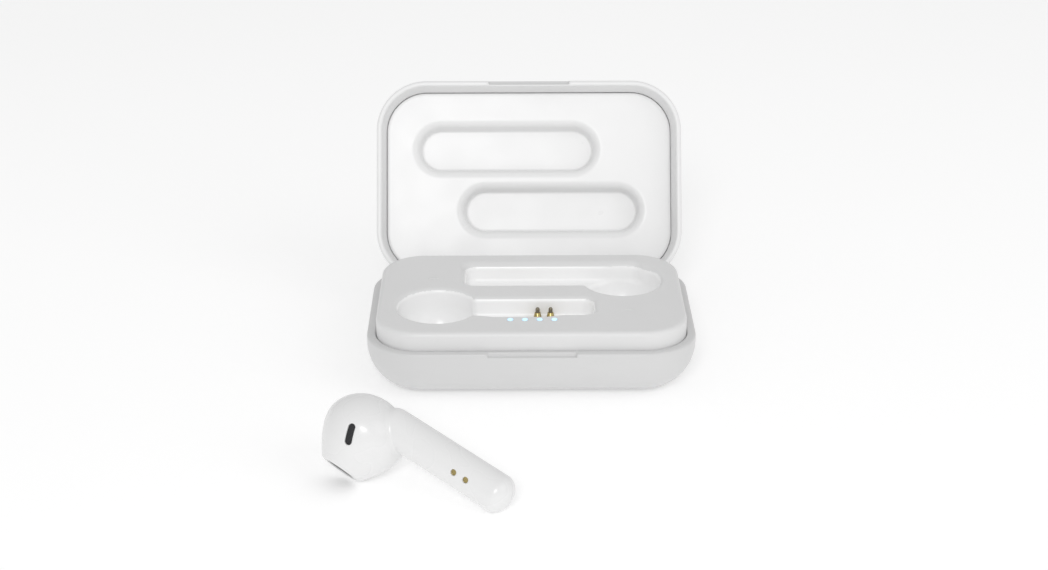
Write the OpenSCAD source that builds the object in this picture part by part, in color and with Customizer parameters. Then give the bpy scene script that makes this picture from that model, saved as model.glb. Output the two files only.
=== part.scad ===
// Wireless earbuds charging case, open, with one earbud standing in front of it.
// Millimetres, +X to the right, +Y to the hinge, +Z up, origin under the middle of the base.

/* [Case] */
// Width of the case, left to right
case_w = 70; // [68:0.5:72]
// Depth of the case, front to back
case_d = 46; // [45:0.5:48]
// Corner radius of the case seen from above
corner_r = 11.4; // [10.5:0.1:12]
// Height of the rim where the base meets the lid
rim_z = 11.9; // [11.8:0.1:12.2]
// Height of the lid above the rim
lid_h = 11.1; // [11:0.1:12]
// How far the rounding of the base and lid reaches in from the side
edge_in = 9.8; // [9:0.1:9.9]
// How far the rounding of the base reaches up
edge_up = 10.15; // [9.5:0.05:10.5]
// Wall of the base shell
base_wall = 1.9; // [1.8:0.05:1.95]
// Wall of the lid shell
lid_wall = 1.65; // [1.5:0.05:1.7]

/* [Hinge] */
// Angle that the lid is open by
lid_open = 117.2; // [100:0.1:120]
// Distance of the hinge axis from the middle of the case
hinge_y = 20.9; // [20.7:0.05:21.1]
// Height of the hinge axis
hinge_z = 11.7; // [11.6:0.05:11.8]
// Outer radius of the hinge knuckles
knuckle_r = 1.9; // [1.7:0.05:1.95]
// Radius of the hinge pin
pin_r = 0.6; // [0.5:0.05:0.7]

/* [Tray] */
// Height of the tray's top face
tray_top = 15.85; // [15.5:0.05:16]
// Gap between the tray's side and the outside of the case
tray_inset = 2; // [2:0.05:2.1]
// Thickness of the tray's top plate
tray_plate = 1.4; // [1.2:0.1:1.6]
// Radius of the round pockets for the earbud heads
pocket_r = 8.5; // [8.2:0.1:8.6]
// Depth of the grooves for the earbud stems
groove_depth = 4.4; // [4:0.1:4.6]

/* [Charging] */
// Distance between the two charging pins of a pocket
pin_pitch = 2.8; // [2.6:0.1:3]
// Height of the charging pins' tips
pin_tip_z = 14.5; // [14.3:0.05:14.7]
// Distance between the charge lights
light_pitch = 3.1; // [2.9:0.1:3.2]

/* [Earbud] */
// Radius of the earbud's stem
stem_r = 3.8; // [3.6:0.1:3.9]
// Length of the rounding at the stem's end
stem_cap = 3; // [2.6:0.1:3.6]
// Length of the earbud from head to stem end
bud_length = 41.4; // [40:0.2:41.6]
// Largest radius of the earbud's head
head_r = 8.5; // [8.2:0.1:8.6]
// Distance from the widest part of the head to the flat end of the nozzle
nozzle_reach = 8.5; // [8.2:0.1:8.8]
// Wall of the earbud's covers
bud_wall = 0.9; // [0.8:0.1:1]

/* [Hidden] */

$fn = 48;
hull_fn = 32;                                   // facets of the pieces inside a hull
curve_steps = 9;                                // points along a quarter of a rounding
slack = 0.1;                                    // overlap of one solid into the next
far = 60;                                       // larger than anything that is cut
shell_colour = "whitesmoke";
inner_colour = "white";
gold_colour = "goldenrod";
board_colour = "seagreen";
steel_colour = "silver";
dark_colour = "dimgray";

lid_gap = 0.15;                                 // parting line between base and lid
lid_base_z = rim_z + lid_gap;
lid_top_z = lid_base_z + lid_h;
lid_top_wall = 1.4;
lid_in_edge = 7.1;                              // how far the rounding inside the lid reaches
floor_z = 1.6;                                  // top of the base shell's floor
base_in_w = case_w - 2 * base_wall;
base_in_d = case_d - 2 * base_wall;
notch_w = 18.6;                                 // finger notch in the front rims
notch_h = 0.8;
notch_depth = 0.9;

// Hinge
knuckle_in = 10.15;                             // base knuckles reach from here
knuckle_out = 17;                               // to here, on both sides
lid_knuckle_w = 19.9;
hinge_bore_r = pin_r + 0.05;
relief_r = 2.4;                                 // room for the lid's lower rear edge
relief_w = 61.2;
lid_relief_r = 2.25;                            // room in the lid for the base knuckles
cradle_y = 17.4;                                // inner wall that closes the hinge channel
cradle_z = 7.6;
cradle_wall = 1.1;
relief_gap = 0.25;
relief_slab = 8;
relief_reach = 16;

// Tray
tray_w = case_w - 2 * tray_inset;
tray_d = case_d - 2 * tray_inset;
tray_r = corner_r - tray_inset;
tray_skirt_z = 10.4;
tray_skirt = 1.3;
tray_edge = 1;
tray_under_z = tray_top - tray_plate;
cup_wall = 1;
cup_z = 12.1;                                   // centre of the pockets' round bottoms
pocket_a = [-20.1, -6.8];
pocket_b = [20.2, 7];
groove_z = tray_top - groove_depth;
groove_a = [[-20.1, -11.2], [13.4, -3.2]];      // plan corners of the front groove
groove_b = [[-14.3, 4.2], [25, 15.4]];          // plan corners of the rear groove
groove_r = 2.2;
light_y = -14.1;
light_r = 0.6;
light_x0 = 0.15;                                // middle of the row of lights
mark_size = [2.2, 0.5, 0.12];                   // small raised side marks
marks = [[-21.5, 7.5], [20.8, -9.2]];

// Liner of the lid, as in the closed lid
liner_z = tray_top + 0.35;
liner_t = 0.9;
liner_inset = 2.15;                             // from the case's outline
recess_depth = 4;
recess_slope = 0.7;
recesses = [[[-24.9, -12.4], [14.8, -3.1]], [[-14.6, 1.9], [25, 11.1]]];

// Boards and battery
board_z = 8.8;
board_t = 0.8;
board_top = board_z + board_t;
board_w = 20.6;
board_y = [-15.8, 12.5];
screw_xy = [8.7, -14.3, 0.5];                   // x, front y and rear y of the screws
screw_r = 0.6;
screw_bore_r = 0.7;
charge_z = 3;
charge_y = [12, 17.2];
usb_w = 8.94;
usb_h = 3.2;
usb_z = charge_z + board_t + usb_h / 2;
usb_y = [14.2, 21.2];
usb_wall = 0.3;
cell_size = [20, 26, 5];
cell_y = -15;
cell_z = 1.9;

// Charging pins
barrel_r = 0.95;
barrel_collar_z = groove_z + 0.6;               // the barrel narrows from here
barrel_top = 13.35;
barrel_top_r = 0.62;
barrel_bore_r = 0.62;
plunger_r = 0.44;
plunger_bore_r = 0.5;
foot_r = 0.56;                                  // foot that keeps the plunger in its barrel
foot_h = 0.7;
spring_z = board_top + 0.35;
plunger_z = 11.4;
pin_x = 2.8;                                    // middle of the front pocket's pins
pin_y = [-5.2, 6];
pin_places = [
    [pin_x - pin_pitch / 2, pin_y[0]], [pin_x + pin_pitch / 2, pin_y[0]],
    [-pin_x - pin_pitch / 2, pin_y[1]], [-pin_x + pin_pitch / 2, pin_y[1]],
];

// Earbud, in its own frame: +X along the stem, -Y to the nozzle, +Z out of the face
head_x = head_r + 0.1;
head_y = -4.4;                                  // where the head is widest
head_tilt = 28;                                 // the nozzle points out of the face by this angle
dome_rise = 7.5;                                // from the widest part to the top of the dome
nozzle_r = 4.2;
head_taper = 1.7;                               // how late the head narrows to the nozzle
stem_start = 13.8;
stem_end = bud_length - stem_cap;
vent_xy = [9.2, -3];
vent_size = [1.5, 4.2];
vent_tilt = 14;
mesh_r = 3.3;                                   // mesh in the mouth of the nozzle
contact_x = [29.9, 29.9 + pin_pitch];
contact_y = 0.1;
contact_r = 0.62;
bud_mid = [-17.3, -59.3];                       // floor point under the middle of the earbud
bud_turn = 26.9;                                // turn about the vertical
bud_lean = 18;                                  // lean back from the vertical
bud_pitch = 18.05;                              // slope of the stem
bud_foot_x = 25.6;                              // the place along the earbud over bud_mid
bud_floor_gap = 0.02;
stem_dip = sin(bud_pitch) * cos(bud_lean);       // how steeply the stem points down
stem_low = (stem_end - bud_foot_x) * stem_dip
    + sqrt(pow(stem_cap * stem_dip, 2) + pow(stem_r, 2) * (1 - pow(stem_dip, 2)));
nozzle_y = head_y - nozzle_reach * cos(head_tilt);
nozzle_dip = cos(head_tilt) * cos(bud_pitch) * cos(bud_lean) - sin(head_tilt) * sin(bud_lean);
nozzle_low = ((head_x - bud_foot_x) * sin(bud_pitch) - nozzle_y * cos(bud_pitch)) * cos(bud_lean)
    - nozzle_reach * sin(head_tilt) * sin(bud_lean) + nozzle_r * sqrt(1 - pow(nozzle_dip, 2));
bud_z = max(stem_low, nozzle_low) + bud_floor_gap;

// A quarter of an ellipse that rises from inset a to the full radius r over height b
function rounded_edge(r, a, b) = [
    for (i = [0 : curve_steps])
        let (t = 90 * i / curve_steps) [r - a + a * sin(t), b - b * cos(t)]
];

// A box with rounded plan corners, whose lower edge is rounded by an ellipse
module pebble(w, d, r, h, a, b) {
    profile = concat([[0, 0]], rounded_edge(r, a, b), [[r, h], [0, h]]);
    hull()
        for (x = [-1, 1], y = [-1, 1])
            translate([x * (w / 2 - r), y * (d / 2 - r), 0])
                rotate_extrude($fn = hull_fn) polygon(profile);
}

// A plain slab with rounded plan corners, made of exact pieces
module slab(w, d, r, z0, z1) {
    translate([0, 0, z0]) linear_extrude(z1 - z0) {
        square([w - 2 * r, d], center = true);
        square([w, d - 2 * r], center = true);
        for (x = [-1, 1], y = [-1, 1])
            translate([x * (w / 2 - r), y * (d / 2 - r)]) circle(r);
    }
}

// A rectangle with rounded corners between two plan corners, raised from z0 to z1
module plan_box(corners, r, z0, z1) {
    size = corners[1] - corners[0];
    middle = (corners[0] + corners[1]) / 2;
    translate([middle[0], middle[1], 0]) slab(size[0], size[1], r, z0, z1);
}

// A box centred in x and y that stands on z0
module block(w, d, z0, z1) {
    translate([-w / 2, -d / 2, z0]) cube([w, d, z1 - z0]);
}

// A cylinder along X, centred on the hinge axis
module hinge_rod(r, x0, x1) {
    translate([x0, hinge_y, hinge_z]) rotate([0, 90, 0]) cylinder(r = r, h = x1 - x0);
}

// Turns a closed lid piece to where it rests open
module opened() {
    translate([0, hinge_y, hinge_z]) rotate([-lid_open, 0, 0])
        translate([0, -hinge_y, -hinge_z]) children();
}

// ---- Base shell ----
module base_cavity() {
    translate([0, 0, floor_z])
        pebble(base_in_w, base_in_d, corner_r - base_wall, rim_z, edge_in - base_wall, edge_up - floor_z);
}

module hinge_relief() {
    hinge_rod(relief_r, -relief_w / 2, relief_w / 2);
    translate([0, hinge_y, hinge_z]) rotate([-lid_open, 0, 0])
        translate([-relief_w / 2, case_d / 2 - hinge_y + relief_gap - relief_slab, 0])
            cube([relief_w, relief_slab, relief_reach]);
}

module base_knuckle() {
    hinge_rod(knuckle_r, knuckle_in, knuckle_out);
    translate([knuckle_in, cradle_y + cradle_wall - slack, hinge_z - knuckle_r + slack])
        cube([knuckle_out - knuckle_in, hinge_y - cradle_y - cradle_wall + slack, knuckle_r]);
}

module usb_opening() {
    translate([0, usb_y[0], usb_z]) rotate([-90, 0, 0])
        slab(usb_w + 0.4, usb_h + 0.4, 1.5, 0, case_d / 2);
}

module base_shell() {
    color(shell_colour) difference() {
        union() {
            difference() {
                pebble(case_w, case_d, corner_r, rim_z, edge_in, edge_up);
                base_cavity();
            }
            intersection() {
                pebble(case_w, case_d, corner_r, rim_z, edge_in, edge_up);
                translate([-relief_w / 2 - cradle_wall, cradle_y, cradle_z])
                    cube([relief_w + 2 * cradle_wall, case_d / 2 - cradle_y, rim_z - cradle_z]);
            }
        }
        difference() {
            hinge_relief();
            for (side = [0, 1]) mirror([side, 0, 0]) base_knuckle();
        }
        hinge_rod(hinge_bore_r, -far, far);
        usb_opening();
        translate([-notch_w / 2, -case_d / 2 - slack, rim_z - notch_h])
            cube([notch_w, notch_depth + slack, notch_h + slack]);
    }
}

// ---- Tray ----
module cup(place, r) {
    translate([place[0], place[1], cup_z]) {
        sphere(r);
        cylinder(r = r, h = tray_top - cup_z);
    }
}

module tray_walls() {
    cup(pocket_a, pocket_r + cup_wall);
    cup(pocket_b, pocket_r + cup_wall);
    grow = [[-cup_wall, -cup_wall], [cup_wall, cup_wall]];
    plan_box(groove_a + grow, groove_r + cup_wall, groove_z - cup_wall, tray_top - slack);
    plan_box(groove_b + grow, groove_r + cup_wall, groove_z - cup_wall, tray_top - slack);
    for (side = [-1, 1], y = [screw_xy[1], screw_xy[2]])
        translate([side * screw_xy[0], y, board_top]) cylinder(r = 1.5, h = tray_top - board_top - slack);
}

module tray_pockets() {
    for (place = [pocket_a, pocket_b]) translate([0, 0, slack]) cup(place, pocket_r);
    plan_box(groove_a, groove_r, groove_z, tray_top + slack);
    plan_box(groove_b, groove_r, groove_z, tray_top + slack);
}

module charge_tray() {
    color(shell_colour) union() {
        difference() {
            intersection() {
                union() {
                    difference() {
                        translate([0, 0, tray_top]) mirror([0, 0, 1])
                            pebble(tray_w, tray_d, tray_r, tray_top - tray_skirt_z, tray_edge, tray_edge);
                        slab(tray_w - 2 * tray_skirt, tray_d - 2 * tray_skirt, tray_r - tray_skirt,
                            tray_skirt_z - slack, tray_under_z);
                    }
                    tray_walls();
                }
                block(far * 2, far * 2, 0, tray_top);
            }
            tray_pockets();
            for (place = pin_places)
                translate([place[0], place[1], 0]) cylinder(r = barrel_r, h = barrel_collar_z);
            for (i = [-1.5 : 1.5])
                translate([light_x0 + i * light_pitch, light_y, 0]) cylinder(r = light_r, h = far);
            for (side = [-1, 1], y = [screw_xy[1], screw_xy[2]])
                translate([side * screw_xy[0], y, 0]) cylinder(r = screw_r, h = board_top + 3);
            translate([-relief_w / 2 - 0.1, cradle_y + cradle_wall, 0])
                cube([relief_w + 0.2, far, rim_z + 0.2]);
            translate([-knuckle_out - 0.3, cradle_y + cradle_wall, 0])
                cube([2 * knuckle_out + 0.6, far, hinge_z + knuckle_r + 0.3]);
            translate([-relief_w / 2 - cradle_wall - 0.1, cradle_y - 0.1, 0])
                cube([relief_w + 2 * cradle_wall + 0.2, far, rim_z + 0.2]);
        }
        for (place = marks)
            translate([place[0] - mark_size[0] / 2, place[1] - mark_size[1] / 2, tray_top - slack])
                cube([mark_size[0], mark_size[1], mark_size[2] + slack]);
    }
}

module light_windows() {
    color("azure") for (i = [-1.5 : 1.5])
        translate([light_x0 + i * light_pitch, light_y, board_top + 0.7])
            cylinder(r = light_r, h = tray_top - board_top - 0.7);
}

module light_chips() {
    color("lightyellow") for (i = [-1.5 : 1.5])
        translate([light_x0 + i * light_pitch, light_y, 0]) block(1.4, 0.9, board_top, board_top + 0.6);
}

// ---- Lid ----
module lid_shell() {
    color(shell_colour) opened() difference() {
        union() {
            difference() {
                translate([0, 0, lid_top_z]) mirror([0, 0, 1])
                    pebble(case_w, case_d, corner_r, lid_h, edge_in, lid_h - lid_top_wall);
                translate([0, 0, lid_top_z - lid_top_wall]) mirror([0, 0, 1])
                    pebble(case_w - 2 * lid_wall, case_d - 2 * lid_wall, corner_r - lid_wall,
                        lid_h, lid_in_edge, lid_in_edge);
            }
            hinge_rod(knuckle_r, -lid_knuckle_w / 2, lid_knuckle_w / 2);
        }
        for (side = [0, 1]) mirror([side, 0, 0])
            hinge_rod(lid_relief_r, knuckle_in - 0.2, knuckle_out + 0.3);
        hinge_rod(hinge_bore_r, -far, far);
        translate([-notch_w / 2, -case_d / 2 - slack, lid_base_z - slack])
            cube([notch_w, notch_depth + slack, notch_h + slack]);
    }
}

// A long recess with round ends whose side slopes out towards the liner's face
module recess(corners, grow, z0, z1) {
    middle_y = (corners[0][1] + corners[1][1]) / 2;
    r = (corners[1][1] - corners[0][1]) / 2 + grow;
    hull() for (x = [corners[0][0] + r - grow, corners[1][0] - r + grow])
        translate([x, middle_y, z0])
            cylinder(r1 = r + recess_slope, r2 = r, h = z1 - z0, $fn = hull_fn);
}

module lid_liner() {
    color(inner_colour) opened() difference() {
        union() {
            slab(case_w - 2 * liner_inset, case_d - 2 * liner_inset, corner_r - liner_inset,
                liner_z, liner_z + liner_t);
            for (corners = recesses)
                recess(corners, liner_t, liner_z + slack, liner_z + recess_depth + liner_t);
        }
        for (corners = recesses)
            recess(corners, 0, liner_z - 0.001, liner_z + recess_depth);
    }
}

module hinge_pin() {
    color(steel_colour) hinge_rod(pin_r, -knuckle_out + 0.2, knuckle_out - 0.2);
}

// ---- Boards, battery and magnets ----
module main_board() {
    color(board_colour) difference() {
        translate([-board_w / 2, board_y[0], board_z]) cube([board_w, board_y[1] - board_y[0], board_t]);
        for (side = [-1, 1], y = [screw_xy[1], screw_xy[2]])
            translate([side * screw_xy[0], y, 0]) cylinder(r = screw_bore_r, h = far);
    }
}

module main_chips() {
    color(dark_colour) {
        translate([-4, -1.2, 0]) block(4, 4, board_top, board_top + 0.7);
        translate([3.2, 0, 0]) block(3, 3, board_top, board_top + 0.7);
        for (x = [-5.4 : 1.8 : 1.8])
            translate([x, 11.4, 0]) block(1, 0.6, board_top, board_top + 0.5);
    }
}

module lid_sensor() {
    color(dark_colour) translate([5.9, -11.6, 0]) block(1.6, 2.6, board_top, board_top + 0.7);
}

module board_screws() {
    color(steel_colour) for (side = [-1, 1], y = [screw_xy[1], screw_xy[2]])
        translate([side * screw_xy[0], y, 0]) {
            translate([0, 0, board_z - 0.6]) cylinder(r = 1.2, h = 0.6);
            translate([0, 0, board_z - slack]) cylinder(r = screw_r, h = board_t + 2.6);
        }
}

module charge_board() {
    color(board_colour) translate([0, (charge_y[0] + charge_y[1]) / 2, 0])
        block(16, charge_y[1] - charge_y[0], charge_z, charge_z + board_t);
}

module charge_chips() {
    color(dark_colour) for (side = [-1, 1])
        translate([side * 6.3, 15.2, 0]) block(2, 3, charge_z + board_t, charge_z + board_t + 0.9);
}

module usb_shell() {
    color(steel_colour) translate([0, usb_y[0], usb_z]) rotate([-90, 0, 0]) difference() {
        slab(usb_w, usb_h, usb_h / 2 - 0.2, 0, usb_y[1] - usb_y[0]);
        slab(usb_w - 2 * usb_wall, usb_h - 2 * usb_wall, usb_h / 2 - 0.5, 1, far);
    }
}

module usb_tongue() {
    color(dark_colour) translate([0, usb_y[0] + 1, usb_z]) rotate([-90, 0, 0])
        block(6.7, 0.7, 0, usb_y[1] - usb_y[0] - 1.8);
}

module case_battery() {
    color("steelblue") translate([-cell_size[0] / 2, cell_y, cell_z]) cube(cell_size);
}

module battery_pad() {
    color("khaki") translate([-6, cell_y + 4, floor_z]) cube([12, 18, cell_z - floor_z]);
}

module battery_leads() {
    color("firebrick") for (x = [-1.2, 1.2]) {
        translate([x, cell_y + cell_size[1], cell_z + 3]) rotate([-90, 0, 0]) cylinder(r = 0.4, h = 0.8);
        translate([x, cell_y + cell_size[1] + 0.8, cell_z + 3]) sphere(0.4);
        translate([x, cell_y + cell_size[1] + 0.8, cell_z + 3])
            cylinder(r = 0.4, h = board_z - cell_z - 3);
    }
}

module board_ribbon() {
    color("peru") {
        translate([3, 13, charge_z + board_t]) cube([4, 0.15, board_z - charge_z]);
        translate([3, 12.5 - 1.6, board_top]) cube([4, 2.25, 0.15]);
    }
}

module base_magnets() {
    color(steel_colour) for (side = [-1, 1])
        translate([side * 20.2, -18.1, 0]) block(7.5, 2.2, tray_under_z - 1.6, tray_under_z);
}

module lid_magnets() {
    color(steel_colour) opened() for (side = [-1, 1])
        translate([side * 20.2, -17.9, 0]) block(7.5, 2.2, liner_z + liner_t, liner_z + liner_t + 1.4);
}

module bud_magnets() {
    color(steel_colour) for (place = [[-28.3, 1.6], [28.3, -1.4]])
        translate([place[0], place[1], tray_under_z - 2.5]) cylinder(r = 1.7, h = 2.5);
}

// ---- Charging pins ----
module pin_barrels() {
    color(gold_colour) for (place = pin_places) translate([place[0], place[1], 0]) difference() {
        union() {
            translate([0, 0, board_top]) cylinder(r = barrel_r, h = barrel_collar_z - board_top);
            translate([0, 0, barrel_collar_z])
                cylinder(r1 = barrel_r, r2 = barrel_top_r, h = barrel_top - barrel_collar_z);
        }
        translate([0, 0, spring_z]) cylinder(r = barrel_bore_r, h = plunger_z + foot_h + slack - spring_z);
        translate([0, 0, spring_z]) cylinder(r = plunger_bore_r, h = far);
    }
}

module charge_pin(i) {
    color(gold_colour) translate([pin_places[i][0], pin_places[i][1], 0]) {
        translate([0, 0, plunger_z]) cylinder(r = foot_r, h = foot_h);
        translate([0, 0, plunger_z]) cylinder(r = plunger_r, h = pin_tip_z - plunger_r - plunger_z);
        translate([0, 0, pin_tip_z - plunger_r]) sphere(plunger_r);
    }
}

module pin_spring(i) {
    color(steel_colour) translate([pin_places[i][0], pin_places[i][1], 0])
        for (z = [spring_z : 0.3 : plunger_z - 0.16])
            translate([0, 0, z]) difference() {
                cylinder(r = 0.5, h = 0.15);
                cylinder(r = 0.34, h = 1, center = true);
            }
}

// ---- Earbud ----
module bud_place() {
    translate([bud_mid[0], bud_mid[1], bud_z]) rotate([0, 0, -bud_turn])
        rotate([90 - bud_lean, 0, 0]) rotate([0, 0, -bud_pitch])
            translate([-bud_foot_x, 0, 0]) children();
}

// Places a piece on the head's axis, at distance d from the widest part towards the nozzle
module head_axis(d) {
    translate([head_x, head_y, 0]) rotate([90 - head_tilt, 0, 0]) translate([0, 0, d]) children();
}

// Head: an egg turned about the nozzle's axis, cut flat at the nozzle
module bud_head(inset) {
    rear = dome_rise - inset;
    front = nozzle_reach - inset;
    r = head_r - inset;
    tip = nozzle_r - inset * 0.6;
    profile = concat(
        [for (i = [0 : curve_steps]) let (t = 90 * i / curve_steps) [r * sin(t), -rear * cos(t)]],
        [for (i = [1 : curve_steps]) let (u = i / curve_steps) [r - (r - tip) * pow(u, head_taper), front * u]],
        [[0, front]]
    );
    head_axis(0) rotate_extrude() polygon(profile);
}

module bud_stem(inset) {
    r = stem_r - inset;
    cap = stem_cap - inset;
    profile = concat(
        [[0, 0]],
        [[r, 0]],
        [for (i = [0 : curve_steps]) let (t = 90 * i / curve_steps)
            [r * cos(t), stem_end - stem_start + cap * sin(t)]]
    );
    translate([stem_start, 0, 0]) rotate([0, 90, 0]) rotate_extrude() polygon(profile);
    translate([stem_start, 0, 0]) sphere(r);
}

module bud_half(front) {
    gap = 0.02;
    difference() {
        union() {
            bud_head(0);
            bud_stem(0);
        }
        bud_head(bud_wall);
        bud_stem(bud_wall);
        translate([-far, -far, front ? -2 * far + gap : -gap]) cube([3 * far, 2 * far, 2 * far]);
        head_axis(nozzle_reach - bud_wall - slack) cylinder(r = mesh_r, h = far);
    }
}

module vent_shape(h) {
    translate([vent_xy[0], vent_xy[1], 0]) rotate([0, 0, vent_tilt])
        linear_extrude(h) {
            square([vent_size[0], vent_size[1] - vent_size[0]], center = true);
            for (side = [-1, 1])
                translate([0, side * (vent_size[1] - vent_size[0]) / 2]) circle(vent_size[0] / 2);
        }
}

module contact_holes(r, z0, z1) {
    for (x = contact_x) translate([x, contact_y, z0]) cylinder(r = r, h = z1 - z0);
}

module bud_front_cover() {
    color(shell_colour) bud_place() difference() {
        bud_half(true);
        vent_shape(far);
        contact_holes(contact_r, 0, far);
    }
}

module bud_back_cover() {
    color(shell_colour) bud_place() bud_half(false);
}

module bud_vent_mesh() {
    color("black") bud_place() intersection() {
        difference() {
            bud_head(0.35);
            bud_head(bud_wall - 0.1);
        }
        vent_shape(far);
    }
}

module bud_nozzle_mesh() {
    color("black") bud_place() head_axis(nozzle_reach - 0.6) cylinder(r = mesh_r - 0.05, h = 0.35);
}

module bud_contacts() {
    color(gold_colour) bud_place() contact_holes(contact_r - 0.02, stem_r - 1.2, stem_r - 0.45);
}

module bud_driver() {
    color(steel_colour) bud_place() head_axis(0.2) {
        cylinder(r = 6, h = 1.6);
        translate([0, 0, 1.6]) cylinder(r = 4.2, h = 1.2);
    }
}

module bud_battery() {
    color("steelblue") bud_place() head_axis(-4.2) cylinder(r = 5, h = 4.2);
}

module bud_board() {
    color(board_colour) bud_place() translate([15, -2.2, -0.4]) cube([19.6, 4.4, 0.8]);
}

module bud_magnet() {
    color(steel_colour) bud_place() translate([24, -1.2, -2]) cube([5, 2.4, 1.4]);
}

module bud_microphone() {
    color(dark_colour) bud_place() translate([32, -1.4, -1.5]) cube([2.4, 2.8, 1]);
}

base_shell();
charge_tray();
lid_shell();
lid_liner();
hinge_pin();
light_windows();
light_chips();
main_board();
main_chips();
lid_sensor();
board_screws();
charge_board();
charge_chips();
usb_shell();
usb_tongue();
case_battery();
battery_pad();
battery_leads();
board_ribbon();
base_magnets();
lid_magnets();
bud_magnets();
pin_barrels();
charge_pin(0);  // charge_pin_1
charge_pin(1);  // charge_pin_2
charge_pin(2);  // charge_pin_3
charge_pin(3);  // charge_pin_4
pin_spring(0);  // pin_spring_1
pin_spring(1);  // pin_spring_2
pin_spring(2);  // pin_spring_3
pin_spring(3);  // pin_spring_4
bud_front_cover();
bud_back_cover();
bud_vent_mesh();
bud_nozzle_mesh();
bud_contacts();
bud_driver();
bud_battery();
bud_board();
bud_magnet();
bud_microphone();
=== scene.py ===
"""Looks of the wireless earbuds case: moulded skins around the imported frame, materials, floor and light."""

import math

import bpy
import numpy as np
from mathutils import Matrix, Vector


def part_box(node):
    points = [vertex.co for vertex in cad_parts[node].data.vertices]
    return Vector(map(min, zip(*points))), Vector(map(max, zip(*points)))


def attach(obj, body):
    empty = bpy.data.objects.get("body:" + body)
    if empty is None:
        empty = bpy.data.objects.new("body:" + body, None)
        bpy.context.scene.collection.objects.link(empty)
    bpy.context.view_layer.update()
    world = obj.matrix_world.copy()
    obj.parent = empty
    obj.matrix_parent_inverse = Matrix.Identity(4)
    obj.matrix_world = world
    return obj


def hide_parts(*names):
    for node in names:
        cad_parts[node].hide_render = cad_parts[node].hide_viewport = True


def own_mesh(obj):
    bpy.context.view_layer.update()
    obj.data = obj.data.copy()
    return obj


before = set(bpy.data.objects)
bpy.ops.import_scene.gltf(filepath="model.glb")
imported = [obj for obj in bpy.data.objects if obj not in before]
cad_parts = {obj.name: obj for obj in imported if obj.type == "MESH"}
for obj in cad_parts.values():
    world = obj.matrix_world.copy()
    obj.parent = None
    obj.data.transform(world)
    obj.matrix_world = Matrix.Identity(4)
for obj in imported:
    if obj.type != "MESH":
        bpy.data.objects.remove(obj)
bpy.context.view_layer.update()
MM = 0.001

# ---- Sizes, in millimetres, read from the frame where it has them ----


def box_mm(node):
    """Lowest and highest corner of a CAD node at rest, in millimetres."""
    low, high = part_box(node)
    return np.array(low) / MM, np.array(high) / MM


def middle(node):
    """Plan position of the middle of a CAD node."""
    low, high = box_mm(node)
    return (low[0] + high[0]) / 2, (low[1] + high[1]) / 2


base_low, base_high = box_mm("base_shell")

# Base shell and the outline that base and lid share
CASE_W = base_high[0] - base_low[0]
CASE_D = 46.0
CORNER_R = 11.4
RIM_Z = base_high[2]
EDGE_IN = 9.8
EDGE_UP = 10.15
BASE_WALL = 1.9
FLOOR_Z = 1.6

# Lid shell and its liner, as in the closed lid
LID_BASE_Z = RIM_Z + 0.15
LID_H = 11.1
LID_TOP_Z = LID_BASE_Z + LID_H
LID_TOP_WALL = 1.4
LID_WALL = 1.65
LID_RIM_WALL = 1.15
LID_IN_EDGE = 7.1
LINER_Z = 16.2
LINER_T = 0.9
LINER_INSET = 2.15
RECESS_DEPTH = 4.0
RECESS_SLOPE = 0.7
RECESS_SHOULDER = 1.4
RECESSES = (((-24.9, -12.4), (14.8, -3.1)), ((-14.6, 1.9), (25.0, 11.1)))

# Hinge, with the room that its knuckles turn in
LID_OPEN = math.radians(117.2)
HINGE_Y = 20.9
HINGE_Z = 11.7
KNUCKLE_R = 1.9
KNUCKLE_SPAN = (10.15, 17.0)
LID_KNUCKLE_HALF = 9.95
LID_RELIEF_R = 2.25
RELIEF_R = 2.4
RELIEF_HALF = 30.6
SWEEP_GAP = 0.25
SWEEP_D = 8
SWEEP_H = 16
PIN_BORE_R = 0.65
CRADLE_Y = 17.4
CRADLE_Z = 7.6
CRADLE_WALL = 1.1

# Tray, its pockets and grooves, and the two small raised marks on it
TRAY_TOP = 15.85
TRAY_INSET = 2.0
TRAY_SKIRT_Z = 10.4
TRAY_SKIRT = 1.3
TRAY_PLATE = 1.4
TRAY_EDGE = 1.0
CUP_WALL = 1.0
CUP_Z = 12.1
POCKET_R = 8.5
POCKETS = ((-20.1, -6.8), (20.2, 7.0))
GROOVE_Z = TRAY_TOP - 4.4
GROOVE_R = 2.2
POCKET_EDGE_R = 1.15
REAR_EDGE_MORE = 0.7
FRONT_EDGE_MORE = 1.1
GROOVES = (((-20.1, -11.2), (13.4, -3.2)), ((-14.3, 4.2), (25.0, 15.4)))
MARKS = ((-21.5, 7.5), (20.8, -9.2))
MARK_W, MARK_D, MARK_R = 2.2, 0.5, 0.24
MARK_RISE = 0.12

# Finger notches in both rims, and the port at the back
NOTCH_HALF = 9.3
NOTCH = 0.8
NOTCH_IN = 0.85
PORT_W, PORT_H, PORT_R = 9.34, 3.6, 1.5
PORT_Z = 5.4
PORT_START_Y = 14.0

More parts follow.
